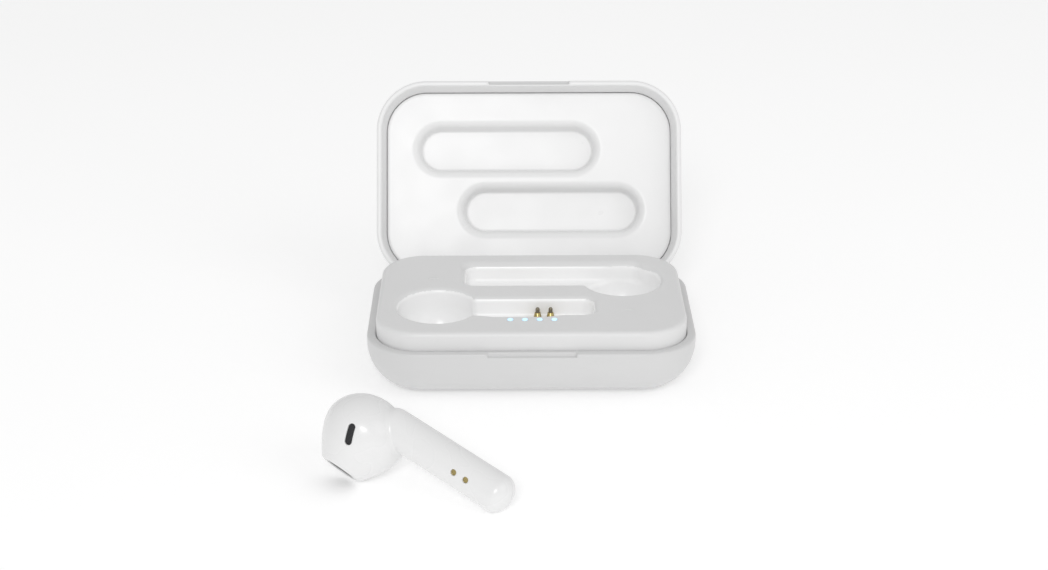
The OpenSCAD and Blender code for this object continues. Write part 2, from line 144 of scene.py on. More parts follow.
# Earbud, lying along x with its face up, and its place on the floor
HEAD = (8.6, -4.4)
HEAD_R = 8.5
HEAD_TILT = math.radians(28)
DOME = 7.5
NOZZLE = 8.5
NOZZLE_R = 4.2
MESH_R = 3.3
TAPER = 1.7
STEM_R = 3.8
STEM_START = 13.8
BUD_LENGTH = 41.4
STEM_CAP = 3.0
BUD_WALL = 0.9
NECK_FILLET = 0.5
SEAM_GAP = 0.02
VENT = (9.2, -3.0)
VENT_TURN = math.radians(14)
VENT_HALF = 1.35
VENT_R = 0.75
CONTACTS = ((29.9, 0.1), (32.7, 0.1))
CONTACT_R = 0.62
BUD_SPOT = (-17.3, -59.3)
BUD_TURN, BUD_LEAN, BUD_PITCH = (math.radians(angle) for angle in (26.9, 18, 18.05))
BUD_FOOT = 25.6
BUD_GAP = 0.02

# Charging pins, their barrels and springs, and the light windows
PINS = range(1, 5)
pin_places = [middle(f"charge_pin_{i}") for i in PINS]
window_low, window_high = box_mm("light_windows")
WINDOW_R = (window_high[1] - window_low[1]) / 2
window_places = [(x, window_low[1] + WINDOW_R)
                 for x in np.linspace(window_low[0] + WINDOW_R, window_high[0] - WINDOW_R, 4)]
BARREL_R = 0.95
BARREL_TOP_R = 0.62
BARREL_BORE_R = 0.62
COLLAR_Z = 12.05
SHOULDER_Z = 12.2
PLUNGER_R = 0.44
PLUNGER_BORE_R = 0.5
FOOT_R = 0.56
FOOT_H = 0.7
BARREL_FLOOR = 0.35
SPRING_R = 0.42
SPRING_WIRE = 0.07
WINDOW_RISE = 0.09

# Grid steps of the meshed skins, and the free room around them in the grid
CASE_STEP = 0.3
TRAY_STEP = 0.27
BUD_STEP = 0.16
MARGIN = 0.8


# ---- Signed distances: negative inside, in millimetres ----


def both(a, b, r):
    """Where a and b overlap, with the outer edge rounded to radius r."""
    return np.minimum(-r, np.maximum(a, b)) + np.hypot(np.maximum(a + r, 0), np.maximum(b + r, 0))


def cut(a, b, r):
    """a with b taken away, and the edge rounded."""
    return both(a, -b, r)


def join(a, b, r):
    """a and b together, with a fillet of radius r between them."""
    return np.maximum(r, np.minimum(a, b)) - np.hypot(np.maximum(r - a, 0), np.maximum(r - b, 0))


def plan(x, y, w, d, r):
    """A rectangle with rounded corners, seen from above."""
    qx = np.abs(x) - (w / 2 - r)
    qy = np.abs(y) - (d / 2 - r)
    return np.hypot(np.maximum(qx, 0), np.maximum(qy, 0)) + np.minimum(np.maximum(qx, qy), 0) - r


def plan_between(x, y, corners, r):
    """The same between two corners."""
    (x0, y0), (x1, y1) = corners
    return plan(x - (x0 + x1) / 2, y - (y0 + y1) / 2, x1 - x0, y1 - y0, r)


def band(value, low, high):
    """How far value is outside low to high."""
    return np.maximum(low - value, value - high)


def ramp(value, start, end):
    """Rises evenly from 0 at start to 1 at end, and stays level beyond them."""
    return np.clip((value - start) / (end - start), 0, 1)


def ellipse(across, along, a, b):
    """Distance from an ellipse with half axes a and b, close to its edge."""
    u = across / a
    v = along / b
    e = np.maximum(np.hypot(u, v), 1e-6)
    return (e - 1) / np.maximum(np.hypot(u / a, v / b) / e, 1e-6)


def pebble(x, y, z, w, d, r, edge_in, edge_up):
    """A block whose lower edge is rounded by an ellipse. z counts from its flat underside."""
    side = plan(x, y, w, d, r)
    across = side + edge_in
    along = z - edge_up
    edge = ellipse(across, along, edge_in, edge_up)
    return np.where((across > 0) & (along < 0), edge, np.maximum(side, -z))


def rod(y, z, r):
    """A cylinder about the hinge axis."""
    return np.hypot(y - HINGE_Y, z - HINGE_Z) - r


def closed_yz(y, z):
    """Where a point of the open lid lies in the closed lid, counted from the hinge axis."""
    c, s = math.cos(LID_OPEN), math.sin(LID_OPEN)
    dy, dz = y - HINGE_Y, z - HINGE_Z
    return dy * c - dz * s, dy * s + dz * c


def case_plan(x, y, inset=0.0):
    """Outline of the case seen from above, moved in by inset."""
    return plan(x, y, CASE_W - 2 * inset, CASE_D - 2 * inset, CORNER_R - inset)


def finger_notch(x, y, z, z0, z1):
    """A shallow scoop in the front of a rim."""
    return both(np.abs(x) - NOTCH_HALF, np.maximum(y + CASE_D / 2 - NOTCH_IN, band(z, z0, z1)), 0.3)


def base_field(x, y, z):
    """Base shell: outside, hollow, hinge cradle, room for the lid's edge, knuckles, port and notch."""
    shell = both(pebble(x, y, z, CASE_W, CASE_D, CORNER_R, EDGE_IN, EDGE_UP), z - RIM_Z, 0.45)
    hollow = pebble(x, y, z - FLOOR_Z, CASE_W - 2 * BASE_WALL, CASE_D - 2 * BASE_WALL,
                    CORNER_R - BASE_WALL, EDGE_IN - BASE_WALL, EDGE_UP - FLOOR_Z)
    body = cut(shell, hollow, 0.25)
    cradle = np.maximum(np.abs(x) - RELIEF_HALF - CRADLE_WALL, np.maximum(CRADLE_Y - y, CRADLE_Z - z))
    body = np.minimum(body, np.maximum(shell, cradle))
    cy, cz = closed_yz(y, z)
    edge = CASE_D / 2 - HINGE_Y + SWEEP_GAP
    open_lid = np.maximum(band(cy, edge - SWEEP_D, edge), band(cz, 0, SWEEP_H))
    swept = np.minimum(rod(y, z, RELIEF_R), open_lid)
    body = cut(body, np.maximum(swept, np.abs(x) - RELIEF_HALF), 0.3)
    side = band(np.abs(x), *KNUCKLE_SPAN)
    web = np.maximum(band(y, CRADLE_Y + 0.5, HINGE_Y), band(z, HINGE_Z - KNUCKLE_R + 0.1, HINGE_Z + 0.1))
    knuckle = both(np.minimum(rod(y, z, KNUCKLE_R), web), side, 0.25)
    body = np.minimum(body, knuckle)
    body = np.maximum(body, -rod(y, z, PIN_BORE_R))
    port = np.maximum(plan(x, z - PORT_Z, PORT_W, PORT_H, PORT_R), PORT_START_Y - y)
    body = cut(body, port, 0.3)
    return cut(body, finger_notch(x, y, z, RIM_Z - NOTCH, RIM_Z + 2), 0.2)


def pocket_void(x, y, z, grow=0.0):
    """The two round head pockets with their stem grooves."""
    result = np.inf
    for (px, py), corners in zip(POCKETS, GROOVES):
        cup = np.sqrt((x - px) ** 2 + (y - py) ** 2 + np.minimum(z - CUP_Z, 0) ** 2) - POCKET_R - grow
        groove = both(plan_between(x, y, corners, GROOVE_R) - grow, GROOVE_Z - grow - z, 1.0)
        void = join(cup, groove, 0.7)
        result = np.minimum(result, void)
    return result


def tray_rim_radius(x, y):
    """Radius of the tray's pocket rims: wider behind the rear groove and in front of the front one."""
    rear = ramp(y, 11, 14)
    front = ramp(y, -8, -10) * ramp(x, -12, -8) * ramp(x, 7, 3)
    return POCKET_EDGE_R + REAR_EDGE_MORE * rear + FRONT_EDGE_MORE * front


def tray_field(x, y, z):
    """Tray: plate with its pockets, their walls, room for the hinge, pins and windows, and the marks."""
    side = case_plan(x, y, TRAY_INSET)
    carved = cut(both(side, z - TRAY_TOP, TRAY_EDGE), pocket_void(x, y, z), tray_rim_radius(x, y))
    hollow = np.maximum(case_plan(x, y, TRAY_INSET + TRAY_SKIRT), z - TRAY_TOP + TRAY_PLATE)
    skirt = cut(TRAY_SKIRT_Z - z, hollow, 0.2)
    shell = np.maximum(carved, np.minimum(skirt, pocket_void(x, y, z, CUP_WALL)))
    behind = CRADLE_Y + CRADLE_WALL - y
    wide = np.maximum(np.abs(x) - RELIEF_HALF - CRADLE_WALL - 0.1, z - RIM_Z - 0.2)
    narrow = np.maximum(np.abs(x) - KNUCKLE_SPAN[1] - 0.3, z - HINGE_Z - KNUCKLE_R - 0.3)
    shell = np.maximum(shell, -np.maximum(np.minimum(wide, narrow), behind))
    for place in pin_places:
        shell = cut(shell, np.hypot(x - place[0], y - place[1]) - BARREL_R, 0.1)
    for place in window_places:
        shell = np.maximum(shell, 0.02 + WINDOW_R - np.hypot(x - place[0], y - place[1]))
    for mx, my in MARKS:
        dash = both(plan(x - mx, y - my, MARK_W, MARK_D, MARK_R), z - TRAY_TOP - MARK_RISE, 0.1)
        shell = np.minimum(shell, np.maximum(dash, TRAY_TOP - 0.5 - z))
    return shell


def lid_mouth(x, y, z):
    """The room between the lid's rim and its liner, narrowing towards the liner."""
    flare = (LINER_Z - z) / (LINER_Z - LID_BASE_Z)
    side = case_plan(x, y, LINER_INSET - 0.1) - (LINER_INSET - 0.1 - LID_RIM_WALL) * flare
    return np.maximum(side, z - LINER_Z - LINER_T / 2 - 0.1)


def lid_rim(x, y, z):
    """The rim and the room behind it, whose faces get a lighter copy of the shell's white as painted light.
    """
    return np.minimum(lid_mouth(x, y, z), z - LID_BASE_Z - 0.35)


def lid_field(x, y, z):
    """Closed lid's shell: outside, hollow, middle knuckle, room for the base's knuckles, and notch."""
    up = LID_TOP_Z - z
    outside = pebble(x, y, up, CASE_W, CASE_D, CORNER_R, EDGE_IN, LID_H - LID_TOP_WALL)
    shell = both(outside, LID_BASE_Z - z, 0.4)
    hollow = pebble(x, y, up - LID_TOP_WALL, CASE_W - 2 * LID_WALL, CASE_D - 2 * LID_WALL,
                    CORNER_R - LID_WALL, LID_IN_EDGE, LID_IN_EDGE)
    hollow = np.minimum(np.maximum(hollow, LINER_Z + LINER_T / 2 - z), lid_mouth(x, y, z))
    body = cut(shell, hollow, 0.2)
    body = np.minimum(body, both(rod(y, z, KNUCKLE_R), np.abs(x) - LID_KNUCKLE_HALF, 0.25))
    side = band(np.abs(x), KNUCKLE_SPAN[0] - 0.2, KNUCKLE_SPAN[1] + 0.3)
    body = cut(body, np.maximum(rod(y, z, LID_RELIEF_R), side), 0.15)
    body = np.maximum(body, -rod(y, z, PIN_BORE_R))
    return cut(body, finger_notch(x, y, z, LID_BASE_Z - 2, LID_BASE_Z + NOTCH), 0.2)


def recess_void(x, y, z, grow=0.0):
    """The two long recesses, whose sides slope out to the liner's face. z as in the closed lid."""
    lean = math.cos(math.atan(RECESS_SLOPE / RECESS_DEPTH))
    result = np.inf
    for (x0, y0), (x1, y1) in RECESSES:
        r = (y1 - y0) / 2
        past_end = np.maximum(np.abs(x - (x0 + x1) / 2) - ((x1 - x0) / 2 - r), 0)
        side = np.hypot(past_end, y - (y0 + y1) / 2) - r
        slope = RECESS_SLOPE * (LINER_Z + RECESS_DEPTH - z) / RECESS_DEPTH
        void = both((side - slope) * lean - grow, z - LINER_Z - RECESS_DEPTH - grow, 0.3)
        result = np.minimum(result, void)
    return result


def liner_field(x, y, z):
    """Liner of the lid: an even sheet that follows its two recesses. z as in the closed lid."""
    face = both(case_plan(x, y, LINER_INSET), LINER_Z - z, 0.5)
    pans = recess_void(x, y, z, LINER_T)
    back = join(z - LINER_Z - LINER_T, pans, 0.3)
    return np.maximum(cut(face, recess_void(x, y, z), RECESS_SHOULDER), back)


def head_axis(x, y, z):
    """Distance from the head's widest part along its axis, away from the nozzle, and from that axis."""
    dy = y - HEAD[1]
    rise = dy * math.cos(HEAD_TILT) - z * math.sin(HEAD_TILT)
    return rise, np.hypot(x - HEAD[0], dy * math.sin(HEAD_TILT) + z * math.cos(HEAD_TILT))


def head_field(x, y, z):
    """The earbud's head, an egg turned about the nozzle's axis and cut flat at the nozzle."""
    rise, ring = head_axis(x, y, z)
    dome = ellipse(ring, rise, HEAD_R, DOME)
    t = np.clip(-rise / NOZZLE, 0, 1.2)
    reach = HEAD_R - (HEAD_R - NOZZLE_R) * t ** TAPER
    steep = (HEAD_R - NOZZLE_R) * TAPER * t ** (TAPER - 1) / NOZZLE
    cone = (ring - reach) / np.sqrt(1 + steep ** 2)
    return both(np.where(rise > 0, dome, cone), -rise - NOZZLE, 0.35)


def stem_field(x, y, z):
    """The earbud's stem, a tube with a ball start in the head and a flatter cap at its end."""
    ring = np.hypot(y, z)
    tube_end = BUD_LENGTH - STEM_CAP
    cap = ellipse(ring, x - tube_end, STEM_R, STEM_CAP)
    start = np.sqrt(ring ** 2 + (x - STEM_START) ** 2) - STEM_R
    return np.where(x > tube_end, cap, np.where(x < STEM_START, start, ring - STEM_R))


def bud_field(x, y, z):
    """The outside of the whole earbud."""
    return join(head_field(x, y, z), stem_field(x, y, z), NECK_FILLET)


def bud_half_field(front):
    """Field of one half of the earbud's shell: the face side or the back."""
    def field(x, y, z):
        outer = bud_field(x, y, z)
        seam = -z if front else z
        half = both(outer, seam + SEAM_GAP, 0.12)
        half = np.maximum(half, -(outer + BUD_WALL))
        if front:
            vx, vy = x - VENT[0], y - VENT[1]
            along = vy * math.cos(VENT_TURN) - vx * math.sin(VENT_TURN)
            across = vx * math.cos(VENT_TURN) + vy * math.sin(VENT_TURN)
            slot = np.hypot(across, np.maximum(np.abs(along) - VENT_HALF, 0)) - VENT_R
            half = cut(half, np.maximum(slot, -z), 0.12)
            for cx, cy in CONTACTS:
                hole = np.maximum(np.hypot(x - cx, y - cy) - CONTACT_R, -z)
                half = cut(half, hole, 0.1)
        rise, ring = head_axis(x, y, z)
        return cut(half, np.maximum(ring - MESH_R, rise + NOZZLE - BUD_WALL - 0.1), 0.1)
    return field


# ---- Meshing a field ----


def slopes(field, p, h=0.02):
    """Gradient of a field at points p."""
    columns = []
    for axis in range(3):
        step = np.zeros(3)
        step[axis] = h
        a, b = p + step, p - step
        columns.append((field(*a.T) - field(*b.T)) / (2 * h))
    return np.stack(columns, axis=1)


def net(field, low, high, step):
    """Vertices and quads of the field's zero surface in a box, with the vertices moved onto the surface."""
    low = np.array(low, float)
    counts = np.ceil((np.array(high, float) - low) / step).astype(int) + 1
    axes = [low[i] + step * np.arange(counts[i]) for i in range(3)]
    values = np.empty(counts)
    slab = 24
    for start in range(0, counts[0], slab):
        part = axes[0][start:start + slab]
        values[start:start + slab] = field(*np.meshgrid(part, axes[1], axes[2], indexing="ij"))
    cells = counts - 1
    strides = np.array([cells[1] * cells[2], cells[2], 1])
    total = int(np.prod(cells))
    sums = np.zeros((total, 3))
    hits = np.zeros(total)
    quads = []
    for axis in range(3):
        a = values.take(np.arange(counts[axis] - 1), axis=axis)
        b = values.take(np.arange(1, counts[axis]), axis=axis)
        where = np.argwhere((a < 0) != (b < 0))
        va, vb = a[tuple(where.T)], b[tuple(where.T)]
        spot = where.astype(float)
        spot[:, axis] += va / (va - vb)
        one, two = (axis + 1) % 3, (axis + 2) % 3
        ring = []
        for back_one, back_two in ((0, 0), (1, 0), (1, 1), (0, 1)):
            cell = where.copy()
            cell[:, one] -= back_one
            cell[:, two] -= back_two
            index = cell @ strides
            for k in range(3):
                sums[:, k] += np.bincount(index, spot[:, k], total)
            hits += np.bincount(index, minlength=total)
            ring.append(index)
        quad = np.stack(ring, axis=1)
        flip = va >= 0
        quad[flip] = quad[flip][:, ::-1]
        quads.append(quad)
    used = np.flatnonzero(hits)
    renumber = np.full(total, -1)
    renumber[used] = np.arange(len(used))
    points = low + step * (sums[used] / hits[used][:, None])
    faces = renumber[np.concatenate(quads)]
    for _ in range(4):
        gradient = slopes(field, points)
        size = np.maximum((gradient ** 2).sum(axis=1), 0.05)
        move = -(field(*points.T) / size)[:, None] * gradient
        length = np.linalg.norm(move, axis=1, keepdims=True)
        points += move * np.minimum(1, 0.6 * step / np.maximum(length, 1e-9))
    return points, faces


def add_object(name, data):
    """An object in the scene that holds the given data."""
    piece = bpy.data.objects.new(name, data)
    bpy.context.collection.objects.link(piece)
    return piece


def mesh_object(name, points, faces, place=None):
    """A smooth-shaded object from points in millimetres, moved by the matrix place (in metres) if given."""
    mesh = bpy.data.meshes.new(name)
    mesh.vertices.add(len(points))
    mesh.vertices.foreach_set("co", (points * MM).astype(np.float32).ravel())
    mesh.loops.add(faces.size)
    mesh.loops.foreach_set("vertex_index", faces.astype(np.int32).ravel())
    mesh.polygons.add(len(faces))
    sides = faces.shape[1]
    mesh.polygons.foreach_set("loop_start", np.arange(0, faces.size, sides, dtype=np.int32))
    mesh.polygons.foreach_set("loop_total", np.full(len(faces), sides, dtype=np.int32))
    mesh.update(calc_edges=True)
    mesh.validate()
    mesh.polygons.foreach_set("use_smooth", np.ones(len(faces), dtype=bool))
    if place is not None:
        mesh.transform(place)
    mesh.update()
    return add_object(name, mesh)


def stand_for(piece, node, body, material):
    """Gives a piece its material and body, and lets it stand for a CAD node."""
    piece.data.materials.append(material)
    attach(piece, body)
    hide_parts(node)


def skin(node, body, field, low, high, step, material, place=None):
    """Builds the moulded skin that stands for a CAD node."""
    points, faces = net(field, low, high, step)
    piece = mesh_object(f"{node}_skin", points, faces, place)
    stand_for(piece, node, body, material)
    return piece


def paint_light_inside(piece, void, reach, material):
    """Gives a second material, a lighter copy that stands for painted light, to the faces that line a void,
    up to reach away from it.
    """
    piece.data.materials.append(material)
    centres = np.empty(len(piece.data.polygons) * 3)
    piece.data.polygons.foreach_get("center", centres)
    inside = void(*(centres.reshape(-1, 3) / MM).T) < reach
    piece.data.polygons.foreach_set("material_index", inside.astype(np.int32))


def turned(name, profile, centres, around=40):
    """Solids of revolution about vertical axes. The profile's (radius, height) points end on the axis."""
    angles = 2 * np.pi * np.arange(around) / around
    points, faces = [], []
    for cx, cy in centres:
        first = sum(len(p) for p in points)
        for r, z in profile[1:-1]:
            ring = [cx + r * np.cos(angles), cy + r * np.sin(angles), np.full(around, z)]
            points.append(np.stack(ring, axis=1))
        rows = len(profile) - 2
        for row in range(rows - 1):
            for i in range(around):
                j = (i + 1) % around
                a, b = first + row * around, first + (row + 1) * around
                faces.append((a + i, a + j, b + j, b + i))
        for row, height, order in ((0, profile[0][1], -1), (rows - 1, profile[-1][1], 1)):
            tip = sum(len(p) for p in points)
            points.append(np.array([[cx, cy, height]]))
            start = first + row * around
            for i in range(around):
                j = (i + 1) % around
                corner = (start + i, start + j, tip)
                faces.append(corner if order > 0 else corner[::-1])
    mesh = bpy.data.meshes.new(name)
    mesh.from_pydata((np.concatenate(points) * MM).tolist(), [], faces)
    mesh.polygons.foreach_set("use_smooth", np.ones(len(faces), dtype=bool))
    mesh.update()
    return add_object(name, mesh)


def arc(radius, z, r, steps=6):
    """Quarter circle from the side up to the top of a turned piece, of radius r."""
    angles = [math.pi / 2 * i / steps for i in range(steps + 1)]
    return [(radius - r + r * math.cos(angle), z - r + r * math.sin(angle)) for angle in angles]


def coil(name, centre, low_z, high_z, radius, wire, turns=5, steps=20, sides=8):
    """A helical spring of round wire about a vertical axis."""
    along = np.linspace(0, turns * 2 * np.pi, turns * steps + 1)
    around = 2 * np.pi * np.arange(sides) / sides
    reach = radius + wire * np.cos(around)[None, :]
    x = centre[0] + reach * np.cos(along)[:, None]
    y = centre[1] + reach * np.sin(along)[:, None]
    rise = low_z + wire + (high_z - low_z - 2 * wire) * along / along[-1]
    z = rise[:, None] + wire * np.sin(around)[None, :]
    points = np.stack([x, y, z], axis=2).reshape(-1, 3)
    row, side = np.meshgrid(np.arange(len(along) - 1), np.arange(sides), indexing="ij")
    a, b = row * sides + side, row * sides + (side + 1) % sides
    faces = np.stack([a, a + sides, b + sides, b], axis=2).reshape(-1, 4)
    return mesh_object(name, points, faces)


# ---- Materials ----


def new_material(name):
    """A material with its nodes, links, main shader and the object's own coordinates."""
    material = bpy.data.materials.new(name)
    material.use_nodes = True
    nodes, links = material.node_tree.nodes, material.node_tree.links
    shader = nodes["Principled BSDF"]
    place = nodes.new("ShaderNodeTexCoord")
    return material, nodes, links, shader, place.outputs["Object"]


def noise(nodes, links, place, scale, detail):
    """Noise in the object's own space."""
    texture = nodes.new("ShaderNodeTexNoise")
    texture.inputs["Scale"].default_value = scale
    texture.inputs["Detail"].default_value = detail
    links.new(place, texture.inputs["Vector"])
    return texture.outputs["Fac"]


def spread(nodes, links, value, low, high):
    """Maps a noise value to low to high."""
    mapping = nodes.new("ShaderNodeMapRange")
    mapping.inputs["From Min"].default_value = 0.15
    mapping.inputs["From Max"].default_value = 0.85
    mapping.inputs["To Min"].default_value = low
    mapping.inputs["To Max"].default_value = high
    links.new(value, mapping.inputs["Value"])
    return mapping.outputs["Result"]


def tint(nodes, links, value, colour_a, colour_b):
    """Blends two colours by a noise value."""
    blend = nodes.new("ShaderNodeMix")
    blend.data_type = "RGBA"
    links.new(value, blend.inputs["Factor"])
    blend.inputs["A"].default_value = (*colour_a, 1)
    blend.inputs["B"].default_value = (*colour_b, 1)
    return blend.outputs["Result"]


def bump(nodes, links, shader, height, strength, distance):
    """Raises the surface by a height value."""
    node = nodes.new("ShaderNodeBump")
    node.inputs["Strength"].default_value = strength
    node.inputs["Distance"].default_value = distance
    links.new(height, node.inputs["Height"])
    links.new(node.outputs["Normal"], shader.inputs["Normal"])


def plastic(name, colour, rough, coat=0.0, grain=2600.0, relief=0.01):
    """Moulded plastic: a very faint cloudiness, uneven gloss and a fine moulded grain."""
    material, nodes, links, shader, place = new_material(name)
    cloud = noise(nodes, links, place, 60.0, 1.0)
    lighter = tuple(min(1.0, c * 1.012) for c in colour)
    darker = tuple(c * 0.985 for c in colour)
    links.new(tint(nodes, links, cloud, darker, lighter), shader.inputs["Base Color"])
    gloss = noise(nodes, links, place, 150.0, 1.0)
    links.new(spread(nodes, links, gloss, rough - 0.04, rough + 0.04), shader.inputs["Roughness"])
    bump(nodes, links, shader, noise(nodes, links, place, grain, 2.0), relief, 0.00002)
    shader.inputs["IOR"].default_value = 1.46
    shader.inputs["Coat Weight"].default_value = coat
    shader.inputs["Coat Roughness"].default_value = 0.12
    return material


def metal(name, colour, rough, brushed=0.0):
    """Plated or ground metal, with fine streaks when brushed."""
    material, nodes, links, shader, place = new_material(name)
    mapping = nodes.new("ShaderNodeMapping")
    mapping.inputs["Scale"].default_value = (1, 1 + 12 * brushed, 1 + 12 * brushed)
    links.new(place, mapping.inputs["Vector"])
    streak = noise(nodes, links, mapping.outputs["Vector"], 900.0, 4.0)
    darker = tuple(c * 0.82 for c in colour)
    links.new(tint(nodes, links, streak, darker, colour), shader.inputs["Base Color"])
    links.new(spread(nodes, links, streak, rough * 0.75, rough * 1.25), shader.inputs["Roughness"])
    shader.inputs["Metallic"].default_value = 1.0
    bump(nodes, links, shader, streak, 0.08, 0.00002)
    return material


def woven_mesh(name):
    """Fine dark acoustic mesh: a square grid of small holes."""
    material, nodes, links, shader, place = new_material(name)
    weave = nodes.new("ShaderNodeTexVoronoi")
    weave.inputs["Scale"].default_value = 4200.0
    weave.inputs["Randomness"].default_value = 0.0
    links.new(place, weave.inputs["Vector"])
    hole = spread(nodes, links, weave.outputs["Distance"], 0.0, 1.0)
    dark = tint(nodes, links, hole, (0.008, 0.008, 0.009), (0.05, 0.05, 0.054))
    links.new(dark, shader.inputs["Base Color"])
    shader.inputs["Roughness"].default_value = 0.5
    shader.inputs["Metallic"].default_value = 0.4
    bump(nodes, links, shader, weave.outputs["Distance"], 0.5, 0.00004)
    return material


def light_window(name):
    """Frosted light guide that glows a faint, slightly uneven blue-white."""
    material, nodes, links, shader, place = new_material(name)
    frost = noise(nodes, links, place, 1800.0, 3.0)
    links.new(tint(nodes, links, frost, (0.45, 0.7, 0.95), (0.7, 0.88, 1.0)), shader.inputs["Base Color"])
    links.new(tint(nodes, links, frost, (0.35, 0.68, 1.0), (0.6, 0.85, 1.0)), shader.inputs["Emission Color"])
    shader.inputs["Emission Strength"].default_value = 0.5
    shader.inputs["Roughness"].default_value = 0.35
    return material


def circuit_board(name):
    """Green solder mask over faint copper tracks."""
    material, nodes, links, shader, place = new_material(name)
    tracks = nodes.new("ShaderNodeTexBrick")
    tracks.inputs["Scale"].default_value = 420.0
    tracks.inputs["Mortar Size"].default_value = 0.03
    tracks.inputs["Color1"].default_value = (0.012, 0.11, 0.045, 1)
    tracks.inputs["Color2"].default_value = (0.018, 0.14, 0.06, 1)
    tracks.inputs["Mortar"].default_value = (0.03, 0.2, 0.09, 1)
    links.new(place, tracks.inputs["Vector"])
    links.new(tracks.outputs["Color"], shader.inputs["Base Color"])
    shader.inputs["Roughness"].default_value = 0.3
    bump(nodes, links, shader, tracks.outputs["Fac"], 0.3, 0.00003)
    return material


shell_white = plastic("shell_white", (0.66, 0.66, 0.66), 0.34)
# A lighter copy of the shell's white, painted light for the lid's rim and the room behind it.
lid_painted_light = plastic("lid_painted_light", (0.82, 0.82, 0.82), 0.34)
tray_white = plastic("tray_white", (0.75, 0.75, 0.75), 0.38)
# A brighter copy of the tray's white, painted light for the insides of the pockets.
pocket_painted_light = plastic("pocket_painted_light", (0.95, 0.95, 0.95), 0.22)
liner_white = plastic("liner_white", (0.85, 0.85, 0.85), 0.30)
bud_white = plastic("bud_white", (0.81, 0.81, 0.81), 0.28, coat=0.2)
gold = metal("gold_plating", (0.5, 0.4, 0.17), 0.25)
# A darker gold, for the charging pins.
dark_gold = metal("dark_gold", (0.26, 0.23, 0.17), 0.3)
steel = metal("ground_steel", (0.58, 0.58, 0.6), 0.32, brushed=1.0)
nickel = metal("nickel", (0.68, 0.67, 0.64), 0.18)
dark_mesh = woven_mesh("dark_mesh")
window_glow = light_window("window_glow")
board_green = circuit_board("board_green")
chip_black = plastic("chip_black", (0.02, 0.02, 0.022), 0.5, relief=0.1)
cell_wrap = plastic("cell_wrap", (0.18, 0.28, 0.5), 0.3, relief=0.05)
pad_foam = plastic("pad_foam", (0.62, 0.57, 0.38), 0.8, grain=1500.0, relief=0.6)
lead_red = plastic("lead_red", (0.5, 0.03, 0.02), 0.4)
ribbon_amber = plastic("ribbon_amber", (0.5, 0.2, 0.04), 0.35)

CAD_MATERIALS = {
    "hinge_pin": steel, "light_chips": chip_black, "main_board": board_green, "main_chips": chip_black,
    "lid_sensor": chip_black, "board_screws": steel, "charge_board": board_green, "charge_chips": chip_black,
    "usb_shell": steel, "usb_tongue": chip_black, "case_battery": cell_wrap, "battery_pad": pad_foam,
    "battery_leads": lead_red, "board_ribbon": ribbon_amber, "base_magnets": nickel, "lid_magnets": nickel,
    "bud_magnets": nickel, "bud_vent_mesh": dark_mesh, "bud_nozzle_mesh": dark_mesh, "bud_contacts": gold,
    "bud_driver": steel, "bud_battery": cell_wrap, "bud_board": board_green, "bud_magnet": nickel,
    "bud_microphone": chip_black,
}
for node, material in CAD_MATERIALS.items():
    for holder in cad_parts[node].material_slots:
        holder.material = material

# ---- Pieces ----

HINGE = Matrix.Translation((0, HINGE_Y * MM, HINGE_Z * MM))
OPENED = HINGE @ Matrix.Rotation(-LID_OPEN, 4, "X") @ HINGE.inverted()
half_w = CASE_W / 2 + MARGIN
half_d = CASE_D / 2 + MARGIN


def base_skin():
    """The base shell."""
    skin("base_shell", "base", base_field, (-half_w, -half_d, -MARGIN),
         (half_w, half_d, HINGE_Z + KNUCKLE_R + MARGIN + 0.1), CASE_STEP, shell_white)


def tray_skin():
    """The tray, with painted light in its pockets: a brighter, glossier copy of its white."""
    low = (-half_w + TRAY_INSET, -half_d + TRAY_INSET, 1.9)
    high = (half_w - TRAY_INSET, half_d - TRAY_INSET, TRAY_TOP + MARGIN)
    tray = skin("charge_tray", "base", tray_field, low, high, TRAY_STEP, tray_white)
    paint_light_inside(tray, pocket_void, 0.25, pocket_painted_light)


def lid_skin():
    """The lid shell, made as in the closed lid with painted light on its rim, and then turned open."""
    low = (-half_w, -half_d, HINGE_Z - KNUCKLE_R - MARGIN)
    high = (half_w, half_d, LID_TOP_Z + MARGIN)
    lid = skin("lid_shell", "lid", lid_field, low, high, CASE_STEP, shell_white)
    paint_light_inside(lid, lid_rim, 0.1, lid_painted_light)
    lid.data.transform(OPENED)


def liner_skin():
    """The liner of the lid."""
    low = (-half_w + 1, -half_d + 1, LINER_Z - MARGIN)
    high = (half_w - 1, half_d - 1, LINER_Z + RECESS_DEPTH + LINER_T + MARGIN)
    skin("lid_liner", "lid", liner_field, low, high, CASE_STEP, liner_white, OPENED)


def bud_place():
    """Where the earbud stands: on its nozzle rim or the end of its stem, whichever is lower."""
    dip = math.sin(BUD_PITCH) * math.cos(BUD_LEAN)
    stem_low = ((BUD_LENGTH - STEM_CAP - BUD_FOOT) * dip
                + math.sqrt((STEM_CAP * dip) ** 2 + STEM_R ** 2 * (1 - dip ** 2)))
    nozzle_dip = (math.cos(HEAD_TILT) * math.cos(BUD_PITCH) * math.cos(BUD_LEAN)
                  - math.sin(HEAD_TILT) * math.sin(BUD_LEAN))
    nozzle_down = ((HEAD[0] - BUD_FOOT) * math.sin(BUD_PITCH)
                   + (NOZZLE * math.cos(HEAD_TILT) - HEAD[1]) * math.cos(BUD_PITCH))
    nozzle_low = (nozzle_down * math.cos(BUD_LEAN) - NOZZLE * math.sin(HEAD_TILT) * math.sin(BUD_LEAN)
                  + NOZZLE_R * math.sqrt(1 - nozzle_dip ** 2))
    spot = Vector((*BUD_SPOT, max(stem_low, nozzle_low) + BUD_GAP))
    return (Matrix.Translation(spot * MM) @ Matrix.Rotation(-BUD_TURN, 4, "Z")
            @ Matrix.Rotation(math.pi / 2 - BUD_LEAN, 4, "X") @ Matrix.Rotation(-BUD_PITCH, 4, "Z")
            @ Matrix.Translation((-BUD_FOOT * MM, 0, 0)))


